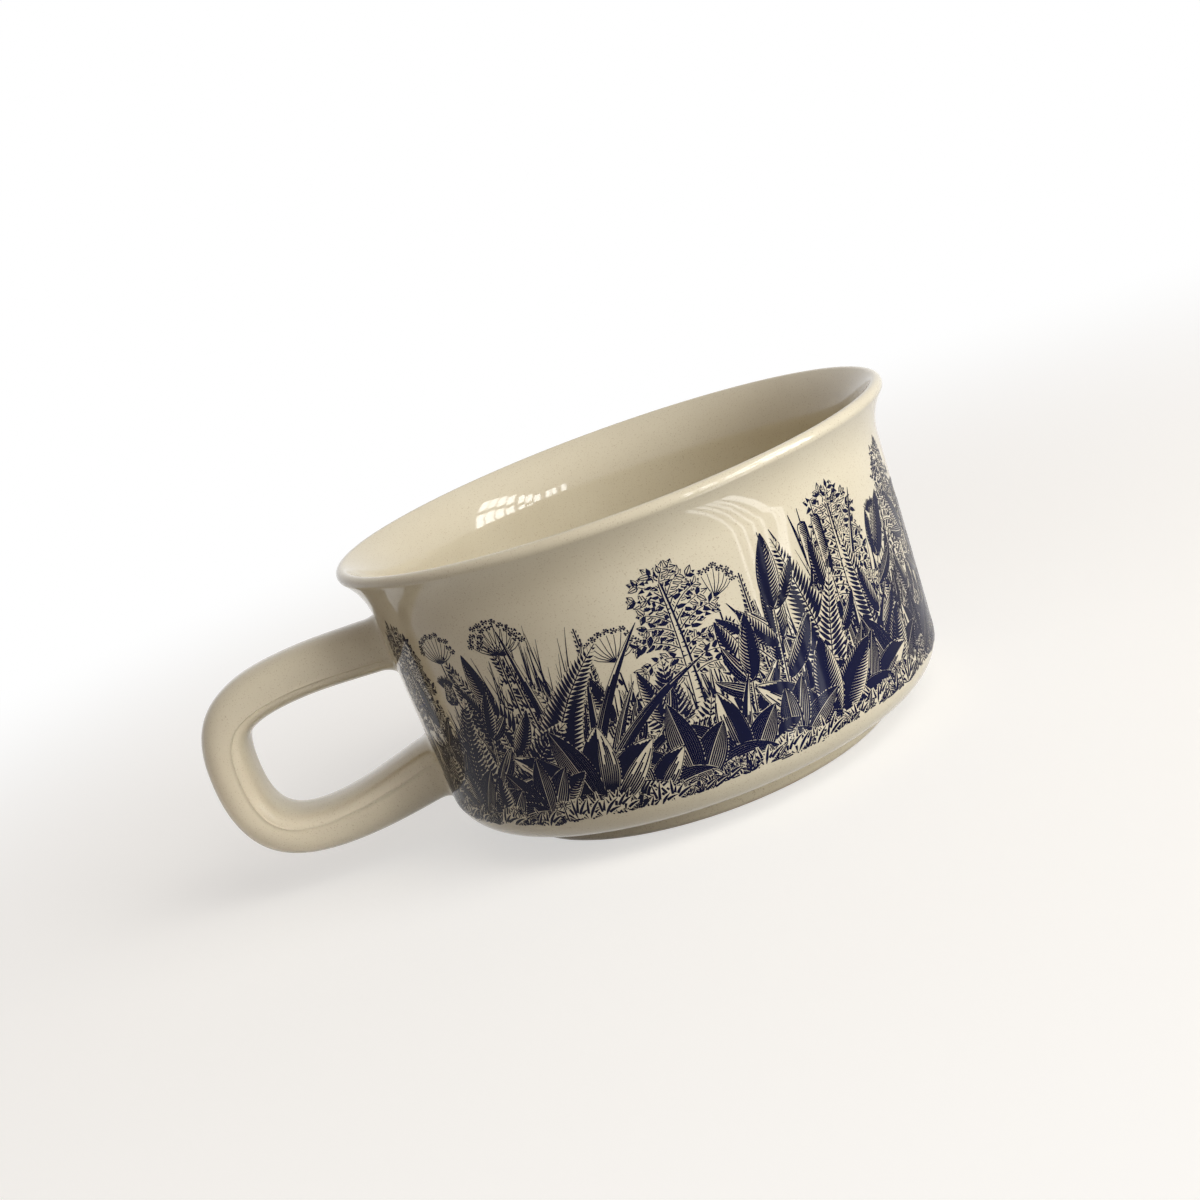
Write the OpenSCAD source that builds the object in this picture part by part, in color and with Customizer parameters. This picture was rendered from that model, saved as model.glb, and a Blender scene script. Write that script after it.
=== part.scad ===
// Wide stoneware soup mug with a flared lip, a turned foot ring and a D-shaped strap handle.
// The bowl stands on Z = 0 with its axis on Z, and the handle points along -X.
// Radii are measured from the axis. The handle is drawn in its own plane, where a point is
// [distance from the axis, height].

/* [Bowl] */
// Diameter across the outside of the lip
rim_d = 116; // [104:1:132]
// Height from the table to the top of the lip
mug_h = 63.5; // [56:0.5:76]
// Thickness of the rounded lip
lip_t = 2.6; // [2:0.1:3.4]
// How far the lip stands out past the top of the straight wall
lip_overhang = 3.9; // [3.2:0.1:5]
// Height of the hollow curve from the straight wall up to the top of the lip
cove_h = 11; // [9:0.5:13]
// Lean of the wall, in degrees from upright
wall_lean = 2; // [0.5:0.5:4]
// Thickness of the wall
wall_t = 4; // [3:0.1:5]
// Thickness of the floor above the underside
floor_t = 4.6; // [3.5:0.1:6]
// Radius of the round corner between the wall and the underside
heel_r = 7.5; // [6:0.25:9]
// Radius of the round corner between the inner wall and the floor
basin_r = 11; // [8:0.5:14]
// Depth of the shallow dish turned in the underside
dish_depth = 0.8; // [0.4:0.1:1.4]

/* [Foot ring] */
// Height of the ring, which lifts the underside off the table
foot_h = 4.4; // [3.4:0.1:6]
// Distance from the wall's bottom radius in to the ring
foot_inset = 11.6; // [10:0.2:14]
// Width of the ring from its inner face to its outer face
foot_w = 5.4; // [4.6:0.2:7]
// Radius of the ring's two bottom edges
foot_edge_r = 1.2; // [0.8:0.1:1.6]
// Radius of the hollow fillets where the ring meets the underside
foot_fillet_r = 1; // [0.6:0.1:1.4]

/* [Handle] */
// Distance from the top of the straight wall out to the middle of the strap at its farthest
handle_reach = 39.6; // [35:0.2:45]
// Height of the strap's farthest point above the table
handle_widest_z = 28.5; // [25:0.5:32]
// Width of the strap across the handle's plane
strap_w = 14; // [11:0.5:16]
// Height of the domed outer face above the parting edge
outer_dome_h = 7; // [5.5:0.25:8]
// Height of the flatter inner face below the parting edge
inner_dome_h = 3; // [2:0.25:4]
// How far the parting edge stands out on each side
parting_h = 0.25; // [0.1:0.05:0.4]
// Drop from the bottom of the lip's hollow curve to the middle of the upper root
upper_root_drop = 7.4; // [7:0.1:9]
// Rise of the upper arm as it leaves the wall, in degrees
upper_lift = 3; // [-2:0.5:8]
// Run of the upper arm before its shoulder bends
upper_arm_run = 33; // [26:1:36]
// Drop over which the shoulder comes round to upright
shoulder_drop = 13; // [9:0.5:16]
// Swelling of the strap at the upper root
upper_swell = 0.6; // [0:0.1:1.5]
// Height of the middle of the lower root above the top of the heel's round corner
lower_root_rise = 5; // [4:0.25:8]
// Fall of the lower arm as it leaves the wall, in degrees
lower_fall = 14; // [6:1:18]
// Run of the lower arm before its elbow bends
lower_arm_run = 28; // [22:1:32]
// Rise over which the elbow comes round to upright
elbow_rise = 16; // [10:0.5:18]
// Swelling of the strap at the lower root
lower_swell = 2.4; // [1:0.1:3]

/* [Slip joints] */
// Length of each joint, from the wall to the end of the strap
joint_len = 3.6; // [2.5:0.1:5]
// How far each joint spreads past the strap where it meets the wall
joint_flare = 1.7; // [1:0.1:2.2]

/* [Smoothness] */
// Sides of a full turn of the bowl and foot ring
turned_sides = 144; // [96:6:180]
// Sides of a full circle in their profiles
profile_sides = 96; // [48:6:120]
// Points around the strap
strap_sides = 36; // [24:4:48]
// Rings along each half of the strap
arm_rings = 24; // [16:2:36]
// Rings along each joint's flare
joint_rings = 8; // [5:1:12]

/* [Hidden] */

ivory = [0.86, 0.83, 0.75];
bisque = [0.78, 0.72, 0.62];
slip = [0.84, 0.81, 0.73];

// Fullness of the domed faces: 2 is an ellipse, and more is squarer
dome_fullness = 2.4;
// Share of an arm, from its root, over which the root's swelling fades out
swell_share = 0.5;
// Depth that a joint runs on past the wall before it is trimmed to it
joint_overrun = 5;
// Each arc of a profile overlaps what it runs into by this much, so that they meet in one clean edge
blend = 0.002;

// Wall line: the outer face leans out from the heel to the top of the straight wall
rim_r = rim_d / 2;
lip_r = lip_t / 2;
wall_top = [rim_r - lip_overhang, mug_h - cove_h];
function wall_radius(z) = wall_top[0] - (wall_top[1] - z) * tan(wall_lean);
out = [cos(wall_lean), -sin(wall_lean)];

// Lip bead, and the two arcs that run from the straight wall into it. Each arc is tangent to the
// wall's face and to the bead, which gives its radius.
lip_centre = [rim_r - lip_r, mug_h - lip_r];
touch_r = lip_r - 2 * blend;
function arc_radius(start, side) =
    let (w = start - lip_centre)
    (touch_r * touch_r - w * w) / (2 * (w * out + side * touch_r));
cove_r = arc_radius(wall_top, -1);
cove_centre = wall_top + cove_r * out;
inner_top = wall_top - wall_t * out;
flare_r = arc_radius(inner_top, 1);
flare_centre = inner_top + flare_r * out;
toward_lip = (lip_centre - flare_centre) / norm(lip_centre - flare_centre);
flare_end = lip_centre + touch_r * toward_lip;

// A round corner of radius r that sits on a level line at height z and touches the wall's face
// moved in by t
function corner_centre(r, z, t) =
    [wall_radius(z + r) + (-t - r) / cos(wall_lean), z + r];
heel_centre = corner_centre(heel_r, foot_h, 0);
basin_floor_z = foot_h + floor_t;
basin_centre = corner_centre(basin_r, basin_floor_z, wall_t);

// Foot ring
wall_bottom_r = wall_radius(foot_h + heel_r);
foot_outer_r = wall_bottom_r - foot_inset;
foot_inner_r = foot_outer_r - foot_w;

// Handle: both roots sit on the wall, and each arm is a cubic curve from its joint to the
// farthest point of the strap
upper_root_z = wall_top[1] - upper_root_drop;
lower_root_z = foot_h + heel_r + lower_root_rise;
upper_root = [wall_radius(upper_root_z), upper_root_z];
lower_root = [wall_radius(lower_root_z), lower_root_z];
upper_dir = [cos(upper_lift), sin(upper_lift)];
lower_dir = [cos(lower_fall), -sin(lower_fall)];
upper_start = upper_root + joint_len * upper_dir;
lower_start = lower_root + joint_len * lower_dir;
farthest = [wall_top[0] + handle_reach, handle_widest_z];
upper_arm = [
    upper_start,
    upper_start + upper_arm_run * upper_dir,
    farthest + [0, shoulder_drop],
    farthest
];
lower_arm = [
    lower_start,
    lower_start + lower_arm_run * lower_dir,
    farthest - [0, elbow_rise],
    farthest
];

function curve_point(c, t) =
    pow(1 - t, 3) * c[0] + 3 * pow(1 - t, 2) * t * c[1] + 3 * (1 - t) * t * t * c[2] + pow(t, 3) * c[3];
function curve_slope(c, t) =
    pow(1 - t, 2) * (c[1] - c[0]) + 2 * (1 - t) * t * (c[2] - c[1]) + t * t * (c[3] - c[2]);
function unit(v) = v / norm(v);

// The strap's section: [across, out], with the parting edge at the widest points of both sides
function dome(x) = sign(x) * pow(abs(x), 2 / dome_fullness);
function strap_section(ridge) = [
    for (i = [0 : strap_sides - 1])
        let (a = 360 * i / strap_sides)
        let (edge = i % (strap_sides / 2) == 0 ? ridge : 0)
        let (dome_h = sin(a) > 0 ? outer_dome_h : inner_dome_h)
        [(strap_w / 2 + edge) * dome(cos(a)), dome_h * dome(sin(a)) + (inner_dome_h - outer_dome_h) / 2]
];
strap_h = outer_dome_h + inner_dome_h;

// A ring of the strap: the section grown by "grow" on every side and set square to "dir" at "at".
// The domed outer face lies to the left of "dir".
function ring(at, dir, grow, ridge) = [
    for (p = strap_section(ridge))
        let (across = p[0] * (1 + 2 * grow / strap_w))
        let (outward = p[1] * (1 + 2 * grow / strap_h))
        [-at[0] + dir[1] * outward, across, at[1] + dir[0] * outward]
];
function swelling(t, amount) = t < swell_share ? amount / 2 * pow(1 - t / swell_share, 2) : 0;
function ridge_at(t) = parting_h * min(1, t / swell_share * 2);

// Closes a row of rings into a solid, with a flat face over each end
module skin(rings) {
    n = len(rings[0]);
    last = len(rings) - 1;
    sides = [
        for (k = [0 : last - 1])
            for (i = [0 : n - 1])
                let (j = (i + 1) % n)
                [k * n + i, k * n + j, (k + 1) * n + j, (k + 1) * n + i]
    ];
    first_end = [for (i = [n - 1 : -1 : 0]) i];
    last_end = [for (i = [0 : n - 1]) last * n + i];
    polyhedron([for (r = rings) each r], concat(sides, [first_end, last_end]), convexity = 6);
}

// A round of a profile at "centre"
module round_at(centre, r) {
    translate(centre) circle(r = r, $fn = profile_sides);
}

// Outline of the bowl up to the lip bead, as if it had no hollow
module bowl_outline() {
    difference() {
        polygon([
            [0, foot_h],
            [heel_centre[0], foot_h],
            heel_centre + heel_r * out,
            wall_top,
            cove_centre,
            lip_centre,
            flare_end,
            [0, flare_end[1]]
        ]);
        round_at(cove_centre, cove_r + blend);
    }
    round_at(heel_centre, heel_r + blend);
}

// Outline of the hollow inside the bowl
module basin_outline() {
    beyond_lip = flare_end + wall_t * toward_lip;
    difference() {
        polygon([
            [0, basin_floor_z],
            [basin_centre[0], basin_floor_z],
            basin_centre + basin_r * out,
            inner_top,
            flare_centre,
            beyond_lip,
            [0, beyond_lip[1]]
        ]);
        round_at(flare_centre, flare_r + blend);
    }
    round_at(basin_centre, basin_r + blend);
}

// The bowl with its rolled lip: one turned wall and floor
module bowl() {
    dish_r = foot_inner_r - foot_fillet_r;
    color(ivory)
    rotate_extrude($fn = turned_sides) {
        difference() {
            bowl_outline();
            basin_outline();
            polygon([[0, 0], [dish_r, 0], [dish_r, foot_h], [0, foot_h + dish_depth]]);
        }
        round_at(lip_centre, lip_r);
    }
}

// The ring that the mug stands on, with hollow fillets up to the underside
module foot_ring() {
    color(bisque)
    rotate_extrude($fn = turned_sides)
    difference() {
        union() {
            translate([foot_inner_r, foot_edge_r])
            square([foot_w, foot_h - foot_edge_r]);
            translate([foot_inner_r + foot_edge_r, 0])
            square([foot_w - 2 * foot_edge_r, foot_h]);
            for (x = [foot_inner_r + foot_edge_r, foot_outer_r - foot_edge_r])
                round_at([x, foot_edge_r + blend], foot_edge_r + blend);
            translate([foot_inner_r - foot_fillet_r, foot_h - foot_fillet_r])
            square([foot_w + 2 * foot_fillet_r, foot_fillet_r]);
        }
        for (x = [foot_inner_r - foot_fillet_r, foot_outer_r + foot_fillet_r])
            round_at([x, foot_h - foot_fillet_r], foot_fillet_r + blend);
    }
}

// Strap handle: the upper arm, shoulder, elbow and lower arm in one piece
module handle() {
    upper = [
        for (i = [0 : arm_rings])
            let (t = i / arm_rings)
            ring(curve_point(upper_arm, t), unit(curve_slope(upper_arm, t)), swelling(t, upper_swell), ridge_at(t))
    ];
    lower = [
        for (i = [arm_rings - 1 : -1 : 0])
            let (t = i / arm_rings)
            ring(curve_point(lower_arm, t), -unit(curve_slope(lower_arm, t)), swelling(t, lower_swell), ridge_at(t))
    ];
    color(ivory) skin(concat(upper, lower));
}

// The wall's outer face, carried down to the table as a plain cone
module wall_face() {
    cylinder(h = wall_top[1], r1 = wall_radius(0), r2 = wall_top[0], $fn = turned_sides);
}

// One joint: the end of the strap spreads in a hollow curve and is trimmed to the wall. "sense" is
// 1 where the strap leaves the wall and -1 where it comes back to it.
module slip_joint(root, dir, swell, sense) {
    buried = ring(root - joint_overrun * dir, sense * dir, swell / 2 + joint_flare, 0);
    spread = [
        for (i = [0 : joint_rings])
            let (s = i / joint_rings)
            let (grow = joint_flare * (1 - sqrt(s * (2 - s))))
            ring(root + s * joint_len * dir, sense * dir, swell / 2 + grow, 0)
    ];
    rings = concat([buried], spread);
    last = len(rings) - 1;
    color(slip)
    difference() {
        skin([for (k = [0 : last]) rings[sense > 0 ? k : last - k]]);
        wall_face();
    }
}

module upper_slip_joint() {
    slip_joint(upper_root, upper_dir, upper_swell, 1);
}

module lower_slip_joint() {
    slip_joint(lower_root, lower_dir, lower_swell, -1);
}

bowl();
foot_ring();
handle();
upper_slip_joint();
lower_slip_joint();
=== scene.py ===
import math
import random
import bpy
import bmesh
import numpy as np
from mathutils import Matrix, Vector, noise


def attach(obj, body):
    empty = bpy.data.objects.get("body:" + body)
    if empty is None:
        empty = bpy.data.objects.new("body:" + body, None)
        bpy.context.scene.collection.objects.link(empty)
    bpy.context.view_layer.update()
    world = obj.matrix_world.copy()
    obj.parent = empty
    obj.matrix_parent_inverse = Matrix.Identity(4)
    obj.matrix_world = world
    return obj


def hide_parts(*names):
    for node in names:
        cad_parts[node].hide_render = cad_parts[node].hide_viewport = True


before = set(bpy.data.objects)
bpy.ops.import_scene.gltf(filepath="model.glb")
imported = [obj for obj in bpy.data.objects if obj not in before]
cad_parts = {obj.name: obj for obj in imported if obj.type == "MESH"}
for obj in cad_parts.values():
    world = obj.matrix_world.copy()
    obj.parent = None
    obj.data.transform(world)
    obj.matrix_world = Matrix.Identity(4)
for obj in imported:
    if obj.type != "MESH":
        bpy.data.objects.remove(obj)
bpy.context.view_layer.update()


# ---------------------------------------------------------------- the camera
# It looks a little down at the mug from the front, with white all round it, and
# it is rolled, so that the handle hangs low on the left.
MM = 0.001
aim = Vector((-10.07, 0, 37.70)) * MM
bearing = math.radians(-1.63)
look_down = math.radians(12.52)
roll = math.radians(20.37)
stand_off = 363.8 * MM

view = Vector((math.sin(bearing) * math.cos(look_down),
               math.cos(bearing) * math.cos(look_down),
               -math.sin(look_down)))
level = view.cross(Vector((0, 0, 1))).normalized()
upright = level.cross(view)
across = level * math.cos(roll) - upright * math.sin(roll)
above = across.cross(view)
turn = Matrix((across, above, -view)).transposed().to_4x4()
lens = bpy.data.cameras.new("camera")
lens.lens = 53.06
lens.sensor_width = 36
lens.clip_start = 0.01
camera = bpy.data.objects.new("camera", lens)
camera.matrix_world = Matrix.Translation(aim - view * stand_off) @ turn
bpy.context.collection.objects.link(camera)
bpy.context.scene.camera = camera
bpy.context.scene.view_settings.view_transform = "Standard"


# ---------------------------------------------------------------- the bowl
# One turned stoneware wall and floor: a round heel, a wall that leans out by
# two degrees, a small cove and a rolled lip. Thrown or jiggered, then glazed.
RIM_R = 58.0 * MM
MUG_H = 63.5 * MM
LIP_R = 1.3 * MM
LEAN = math.radians(2)
WALL_T = 4.0 * MM
HEEL_R = 7.5 * MM
BASIN_R = 11.0 * MM
FLOOR_Z = 9.0 * MM
FOOT_H = 4.4 * MM
DISH_R = 34.68 * MM
DISH_Z = 5.2 * MM
SAME_POINT = 0.001 * MM
WALL_TOP = Vector((54.1 * MM, 52.5 * MM))
OUT = Vector((math.cos(LEAN), -math.sin(LEAN)))


def wall_radius(z):
    """How far the wall's outer face is from the axis at height z."""
    return WALL_TOP.x - (WALL_TOP.y - z) * math.tan(LEAN)


def corner_centre(r, z, inset):
    """Centre of a rounding of radius r that touches height z and the wall less its inset."""
    return Vector((wall_radius(z + r) - (inset + r) / math.cos(LEAN), z + r))


def cove_radius(start, side):
    """Radius of the arc that leaves the wall at start and runs into the lip's bead."""
    w = start - LIP_C
    return (LIP_R * LIP_R - w.dot(w)) / (2 * (w.dot(OUT) + side * LIP_R))


LIP_C = Vector((RIM_R - LIP_R, MUG_H - LIP_R))
INNER_TOP = WALL_TOP - WALL_T * OUT
COVE_R = cove_radius(WALL_TOP, -1)
COVE_C = WALL_TOP + COVE_R * OUT
FLARE_R = cove_radius(INNER_TOP, 1)
FLARE_C = INNER_TOP + FLARE_R * OUT
HEEL_C = corner_centre(HEEL_R, FOOT_H, 0)
BASIN_C = corner_centre(BASIN_R, FLOOR_Z, WALL_T)


def line_to(bm, vert, to, steps):
    """Draw the profile on from vert in a straight line, in equal steps."""
    start = vert.co.copy()
    for i in range(1, steps + 1):
        at = start.lerp(Vector((to[0], 0, to[1])), i / steps)
        nxt = bm.verts.new(at)
        bm.edges.new((vert, nxt))
        vert = nxt
    return vert


def arc_on(bm, vert, centre, sweep, steps):
    """Draw the profile on from vert round a centre; a positive sweep turns inwards over the top."""
    made = bmesh.ops.spin(bm, geom=[vert], cent=(centre[0], 0, centre[1]), axis=(0, -1, 0),
                          angle=sweep, steps=steps, use_merge=False)
    return [g for g in made["geom_last"] if isinstance(g, bmesh.types.BMVert)][0]


def angle_of(v):
    """The direction of a profile vector, from the level."""
    return math.atan2(v.y, v.x)


def finish_mesh(bm, name, material, smooth_below=40):
    """Turn the faces outwards, and make the piece's object."""
    bmesh.ops.recalc_face_normals(bm, faces=bm.faces)
    mesh = bpy.data.meshes.new(name)
    bm.to_mesh(mesh)
    bm.free()
    mesh.polygons.foreach_set("use_smooth", [True] * len(mesh.polygons))
    mesh.set_sharp_from_angle(angle=math.radians(smooth_below))
    mesh.materials.append(material)
    piece = bpy.data.objects.new(name, mesh)
    bpy.context.collection.objects.link(piece)
    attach(piece, "root")
    return piece


def add_node(tree, kind, place, **settings):
    """A material node at a place in the editor, with its settings."""
    node = tree.nodes.new(kind)
    node.location = place
    for key, value in settings.items():
        setattr(node, key, value)
    return node


def ramp(tree, source, place, stops):
    """A colour ramp on a value, with (position, colour) stops."""
    node = add_node(tree, "ShaderNodeValToRGB", place)
    node.color_ramp.elements[0].position, node.color_ramp.elements[0].color = stops[0]
    node.color_ramp.elements[1].position, node.color_ramp.elements[1].color = stops[-1]
    for position, colour in stops[1:-1]:
        node.color_ramp.elements.new(position).color = colour
    tree.links.new(source, node.inputs["Fac"])
    return node


def grey(level):
    """A plain grey, for a ramp that gives a value."""
    return (level, level, level, 1)


def glaze(name, pale, deep, speck, speck_share=0.62, ripple=0.35):
    """A fired glaze: it pools a little darker in places, carries fine iron specks,
    and its skin ripples faintly, so that highlights waver."""
    mat = bpy.data.materials.new(name)
    mat.use_nodes = True
    tree = mat.node_tree
    link = tree.links.new
    skin = tree.nodes["Principled BSDF"]
    skin.inputs["IOR"].default_value = 1.5
    skin.inputs["Specular IOR Level"].default_value = 0.5
    where = add_node(tree, "ShaderNodeTexCoord", (-1400, 0)).outputs["Object"]

    pool = add_node(tree, "ShaderNodeTexNoise", (-1100, 300))
    pool.inputs["Scale"].default_value = 38
    pool.inputs["Detail"].default_value = 3
    link(where, pool.inputs["Vector"])
    body = ramp(tree, pool.outputs["Fac"], (-850, 300), [(0.32, deep), (0.62, pale)])

    fleck = add_node(tree, "ShaderNodeTexNoise", (-1100, 0))
    fleck.inputs["Scale"].default_value = 3600
    fleck.inputs["Detail"].default_value = 1
    link(where, fleck.inputs["Vector"])
    dots = ramp(tree, fleck.outputs["Fac"], (-850, 0),
                [(speck_share, grey(0)), (speck_share + 0.10, grey(1))])
    colour = add_node(tree, "ShaderNodeMix", (-500, 200), data_type="RGBA", blend_type="MIX")
    colour.inputs["B"].default_value = speck
    link(dots.outputs["Color"], colour.inputs["Factor"])
    link(body.outputs["Color"], colour.inputs["A"])
    link(colour.outputs["Result"], skin.inputs["Base Color"])

    sheen = ramp(tree, pool.outputs["Fac"], (-850, -300),
                 [(0.30, grey(0.045)), (0.70, grey(0.085))])
    link(sheen.outputs["Color"], skin.inputs["Roughness"])

    wave = add_node(tree, "ShaderNodeTexNoise", (-1100, -600))
    wave.inputs["Scale"].default_value = 95
    wave.inputs["Detail"].default_value = 2
    link(where, wave.inputs["Vector"])
    bump = add_node(tree, "ShaderNodeBump", (-500, -500))
    bump.inputs["Strength"].default_value = ripple
    bump.inputs["Distance"].default_value = 0.12 * MM
    link(wave.outputs["Fac"], bump.inputs["Height"])
    link(bump.outputs["Normal"], skin.inputs["Normal"])
    return mat


ivory_glaze = glaze("ivory_glaze", pale=(0.72, 0.667, 0.525, 1), deep=(0.68, 0.622, 0.48, 1),
                    speck=(0.57, 0.495, 0.36, 1))

bm = bmesh.new()
v = bm.verts.new((0, 0, DISH_Z))
v = line_to(bm, v, (DISH_R, FOOT_H), 12)
v = line_to(bm, v, (HEEL_C.x, FOOT_H), 5)
v = arc_on(bm, v, HEEL_C, math.pi / 2 - LEAN, 22)
v = line_to(bm, v, WALL_TOP, 26)
cove_sweep = math.pi - LEAN - angle_of(LIP_C - COVE_C)
v = arc_on(bm, v, COVE_C, -cove_sweep, 18)
lip_sweep = angle_of(LIP_C - FLARE_C) - angle_of(COVE_C - LIP_C)
v = arc_on(bm, v, LIP_C, lip_sweep, 24)
v = arc_on(bm, v, FLARE_C, math.pi - LEAN - angle_of(LIP_C - FLARE_C), 20)
v = line_to(bm, v, BASIN_C + BASIN_R * OUT, 22)
v = arc_on(bm, v, BASIN_C, -(math.pi / 2 - LEAN), 20)
v = line_to(bm, v, (0, FLOOR_Z), 16)
bmesh.ops.spin(bm, geom=bm.verts[:] + bm.edges[:], cent=(0, 0, 0), axis=(0, 0, 1),
               angle=math.tau, steps=288, use_merge=True)
bmesh.ops.remove_doubles(bm, verts=bm.verts, dist=SAME_POINT)
bowl = finish_mesh(bm, "glazed_bowl", ivory_glaze)
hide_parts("bowl")


# ---------------------------------------------------------------- the foot ring
# A low turned ring under the bowl, luted on with slip. Its sides are glazed,
# and its standing face is wiped bare, so it shows the buff stoneware body.
FOOT_R = RIM_R - 16.92 * MM
FOOT_W = 5.4 * MM
FOOT_EDGE = 1.2 * MM
FOOT_HOLLOW = 1.0 * MM
BURIED = 0.15 * MM
WIPED_TO = 0.62 * MM
WIPED_RAGGED = 0.5 * MM

wiped_foot = glaze("wiped_foot", pale=(0.68, 0.62, 0.475, 1), deep=(0.63, 0.565, 0.425, 1),
                   speck=(0.46, 0.385, 0.27, 1))
tree = wiped_foot.node_tree
skin = tree.nodes["Principled BSDF"]
where = next(n for n in tree.nodes if n.type == "TEX_COORD")
height = add_node(tree, "ShaderNodeSeparateXYZ", (-1100, 800))
tree.links.new(where.outputs["Object"], height.inputs["Vector"])
ragged = add_node(tree, "ShaderNodeTexNoise", (-1100, 1000))
ragged.inputs["Scale"].default_value = 320
tree.links.new(where.outputs["Object"], ragged.inputs["Vector"])
edge = add_node(tree, "ShaderNodeMath", (-850, 900), operation="MULTIPLY_ADD")
edge.inputs[1].default_value = WIPED_RAGGED
tree.links.new(ragged.outputs["Fac"], edge.inputs[0])
tree.links.new(height.outputs["Z"], edge.inputs[2])
bare = add_node(tree, "ShaderNodeMath", (-650, 900), operation="LESS_THAN")
bare.inputs[1].default_value = WIPED_TO
tree.links.new(edge.outputs[0], bare.inputs[0])
clay = add_node(tree, "ShaderNodeMix", (-250, 500), data_type="RGBA", blend_type="MIX")
clay.inputs["B"].default_value = (0.52, 0.40, 0.26, 1)
tree.links.new(bare.outputs[0], clay.inputs["Factor"])
tree.links.new(skin.inputs["Base Color"].links[0].from_socket, clay.inputs["A"])
tree.links.new(clay.outputs["Result"], skin.inputs["Base Color"])
dull = add_node(tree, "ShaderNodeMix", (-250, 100), data_type="FLOAT")
dull.inputs["B"].default_value = 0.75
tree.links.new(bare.outputs[0], dull.inputs["Factor"])
tree.links.new(skin.inputs["Roughness"].links[0].from_socket, dull.inputs["A"])
tree.links.new(dull.outputs["Result"], skin.inputs["Roughness"])

bm = bmesh.new()
inner = FOOT_R - FOOT_W
v = bm.verts.new((inner - FOOT_HOLLOW, 0, FOOT_H))
v = arc_on(bm, v, (inner - FOOT_HOLLOW, FOOT_H - FOOT_HOLLOW), -math.pi / 2, 8)
v = line_to(bm, v, (inner, FOOT_EDGE), 2)
v = arc_on(bm, v, (inner + FOOT_EDGE, FOOT_EDGE), math.pi / 2, 9)
v = line_to(bm, v, (FOOT_R - FOOT_EDGE, 0), 3)
v = arc_on(bm, v, (FOOT_R - FOOT_EDGE, FOOT_EDGE), math.pi / 2, 9)
v = line_to(bm, v, (FOOT_R, FOOT_H - FOOT_HOLLOW), 2)
v = arc_on(bm, v, (FOOT_R + FOOT_HOLLOW, FOOT_H - FOOT_HOLLOW), -math.pi / 2, 8)
v = line_to(bm, v, (FOOT_R + FOOT_HOLLOW, FOOT_H + BURIED), 1)
v = line_to(bm, v, (inner - FOOT_HOLLOW, FOOT_H + BURIED), 3)
v = line_to(bm, v, (inner - FOOT_HOLLOW, FOOT_H), 1)
bmesh.ops.spin(bm, geom=bm.verts[:] + bm.edges[:], cent=(0, 0, 0), axis=(0, 0, 1),
               angle=math.tau, steps=240, use_merge=True)
bmesh.ops.remove_doubles(bm, verts=bm.verts, dist=SAME_POINT)
foot = finish_mesh(bm, "glazed_foot_ring", wiped_foot)
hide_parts("foot_ring")


# ---------------------------------------------------------------- the handle
# One strap pressed in a two-part mould and bent to a D: domed outside, flatter
# inside, with the fine fettled edge of the mould along both sides.
STRAP_W = 14.0 * MM
DOME_H = (7.0 * MM, 3.0 * MM)
FULLNESS = 2.4
PARTING_H = 0.25 * MM
PARTING_SHARE = 0.04
JOINT_LEN = 3.6 * MM
FARTHEST = Vector((93.7, 28.5)) * MM
UPPER_SWELL = 0.3 * MM
LOWER_SWELL = 1.2 * MM
UPPER_ROOT = Vector((wall_radius(45.1 * MM), 45.1 * MM))
LOWER_ROOT = Vector((wall_radius(16.9 * MM), 16.9 * MM))
UPPER_WAY = Vector((math.cos(math.radians(3)), math.sin(math.radians(3))))
LOWER_WAY = Vector((math.cos(math.radians(14)), -math.sin(math.radians(14))))
UPPER_RUN = 33 * MM
UPPER_RISE = 13 * MM
LOWER_RUN = 28 * MM
LOWER_DROP = 16 * MM
ROUND = 72
ARM_STEPS = 64
TAIL = 2 * MM
WAVER = 0.12 * MM
WAVES_PER_METRE = 85


def arm_curve(root, way, run, rise):
    """The four control points of one arm, from its joint to the farthest point."""
    start = root + JOINT_LEN * way
    return [start, start + run * way, FARTHEST + Vector((0, rise)), FARTHEST]


def along(c, t):
    """The point at t on the curve with control points c, and the direction there."""
    u = 1 - t
    point = u**3 * c[0] + 3 * u * u * t * c[1] + 3 * u * t * t * c[2] + t**3 * c[3]
    way = u * u * (c[1] - c[0]) + 2 * u * t * (c[2] - c[1]) + t * t * (c[3] - c[2])
    return point, way.normalized()


def dome(x):
    """Rounds a sine or cosine to a fuller curve than an ellipse."""
    return math.copysign(abs(x) ** (2 / FULLNESS), x)


def strap_point(a, centre, way, grow):
    """A point at angle a on the strap's section, which stands square to way."""
    edge = PARTING_H * max(0, 1 - abs(math.sin(a)) / PARTING_SHARE)
    wide = (STRAP_W / 2 + edge) * dome(math.cos(a)) * (1 + 2 * grow / STRAP_W)
    high = DOME_H[0] if math.sin(a) > 0 else DOME_H[1]
    deep = (high * dome(math.sin(a)) + (DOME_H[1] - DOME_H[0]) / 2) * (1 + 2 * grow / sum(DOME_H))
    return Vector((-centre.x + way.y * deep, wide, centre.y + way.x * deep))


def sponged(p, depth):
    """A faint unevenness, as fettling and sponging leave it."""
    q = p * WAVES_PER_METRE
    n = Vector((noise.noise(q), noise.noise(q + Vector((9, 3, 5))), noise.noise(q - Vector((4, 7, 2)))))
    return p + depth * n


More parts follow.
